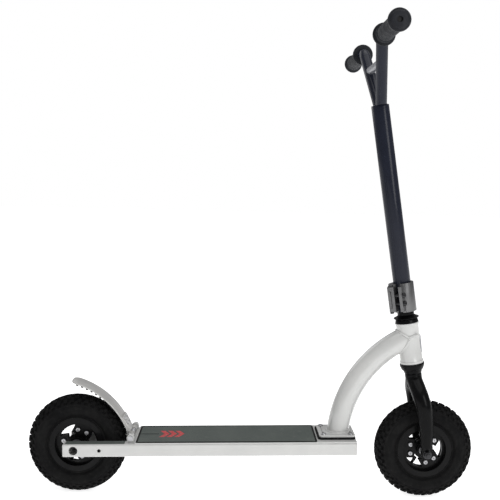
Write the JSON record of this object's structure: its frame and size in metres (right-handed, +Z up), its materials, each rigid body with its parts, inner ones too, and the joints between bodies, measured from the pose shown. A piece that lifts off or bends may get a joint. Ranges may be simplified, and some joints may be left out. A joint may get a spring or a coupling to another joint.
{
  "type": "kick scooter",
  "caption": "Kick scooter with a flat deck on square rails, air-filled tyres, a curved neck, a V-shaped handlebar on a quick-release clamp and a sprung fender brake.",
  "frame": {"origin": "on the ground, midway between the two axles, in the middle plane", "axes": "+X forwards, +Y to the rider's left, +Z up"},
  "size_m": [0.896, 0.53, 0.922],
  "materials": {
    "frame_paint": "gloss white",
    "white_plastic": "gloss white",
    "grip_tape": "gritty dark grey",
    "red_mark": "matt red print",
    "black_rubber": "matt",
    "steel": "zinc plated",
    "dark_steel": "blackened",
    "badge": "satin",
    "black_paint": "gloss black",
    "fender_metal": "satin light grey",
    "tyre": "matt black",
    "rim": "satin black",
    "bar_paint": "gloss dark navy",
    "silver_paint": "satin silver",
    "grip": "matt black",
    "black_plastic": "gloss",
    "clamp_alloy": "cast, satin"
  },
  "bodies": {
    "frame": {"rail_right": "frame_paint", "rail_left": "frame_paint", "rail_plugs": "white_plastic", "front_cross_tube": "frame_paint", "rear_cross_tube": "frame_paint", "deck_plate": "frame_paint", "grip_tape": "grip_tape", "deck_mark": "red_mark", "neck_gasket": "black_rubber", "neck_base_plate": "frame_paint", "neck_bolts": "steel", "neck_tube": "frame_paint", "head_tube": "frame_paint", "head_badge": "badge", "upper_cup": "black_paint", "lower_cup": "black_paint", "headset_bearings": "steel", "fender_bracket": "frame_paint", "fender_pin": "steel", "rear_axle": "steel", "rear_axle_nut": "steel", "rear_spacers": "steel"},
    "brake": {"fender": "fender_metal", "fender_hinge": "fender_metal", "fender_rivets": "steel", "fender_spring": "steel"},
    "rear_wheel": {"rear_tyre": "tyre", "rear_inner_tube": "black_rubber", "rear_rim_right": "rim", "rear_rim_left": "rim", "rear_rim_bolts": "steel", "rear_bearings": "steel"},
    "fork": {"steerer": "black_paint", "fork_crown": "black_paint", "fork_leg_right": "black_paint", "fork_leg_left": "black_paint", "crown_race": "black_paint", "top_cone": "black_paint", "lock_nut": "black_paint", "front_axle": "steel", "front_axle_nuts": "dark_steel", "front_spacers": "steel"},
    "handlebar": {"stem_tube": "bar_paint", "upright_right": "bar_paint", "upright_left": "bar_paint", "crossbar": "silver_paint", "grip_right": "grip", "grip_left": "grip", "bar_plugs": "black_plastic", "clamp_collar": "clamp_alloy", "clamp_bolts": "dark_steel", "lever_pin": "dark_steel"},
    "lever": {"quick_release_lever": "clamp_alloy"},
    "front_wheel": {"front_tyre": "tyre", "front_inner_tube": "black_rubber", "front_rim_right": "rim", "front_rim_left": "rim", "front_rim_bolts": "steel", "front_bearings": "steel"}
  },
  "joints": [
    {"name": "steering", "type": "hinge", "parent": "frame", "child": "fork", "pos_m": [0.349, 0, 0.099], "axis": [-0.1616, 0, 0.9869], "continuous": true},
    {"name": "handlebar_height", "type": "slide", "parent": "fork", "child": "handlebar", "axis": [-0.1616, 0, 0.9869], "range_m": [0, 0.08]},
    {"name": "quick_release", "type": "hinge", "parent": "handlebar", "child": "lever", "pos_m": [0.26931, -0.01376, 0.40515], "axis": [-0.1616, 0, 0.9869], "range_deg": [0, 110]},
    {"name": "front_wheel_spin", "type": "hinge", "parent": "fork", "child": "front_wheel", "pos_m": [0.349, 0, 0.099], "axis": [0, 1, 0], "continuous": true},
    {"name": "rear_wheel_spin", "type": "hinge", "parent": "frame", "child": "rear_wheel", "pos_m": [-0.349, 0, 0.099], "axis": [0, 1, 0], "continuous": true},
    {"name": "brake", "type": "hinge", "parent": "frame", "child": "brake", "pos_m": [-0.23899, 0, 0.122], "axis": [0, -1, 0], "range_deg": [0, 3], "stiffness_Nm_per_rad": 3, "springref_deg": -17.19}
  ]
}
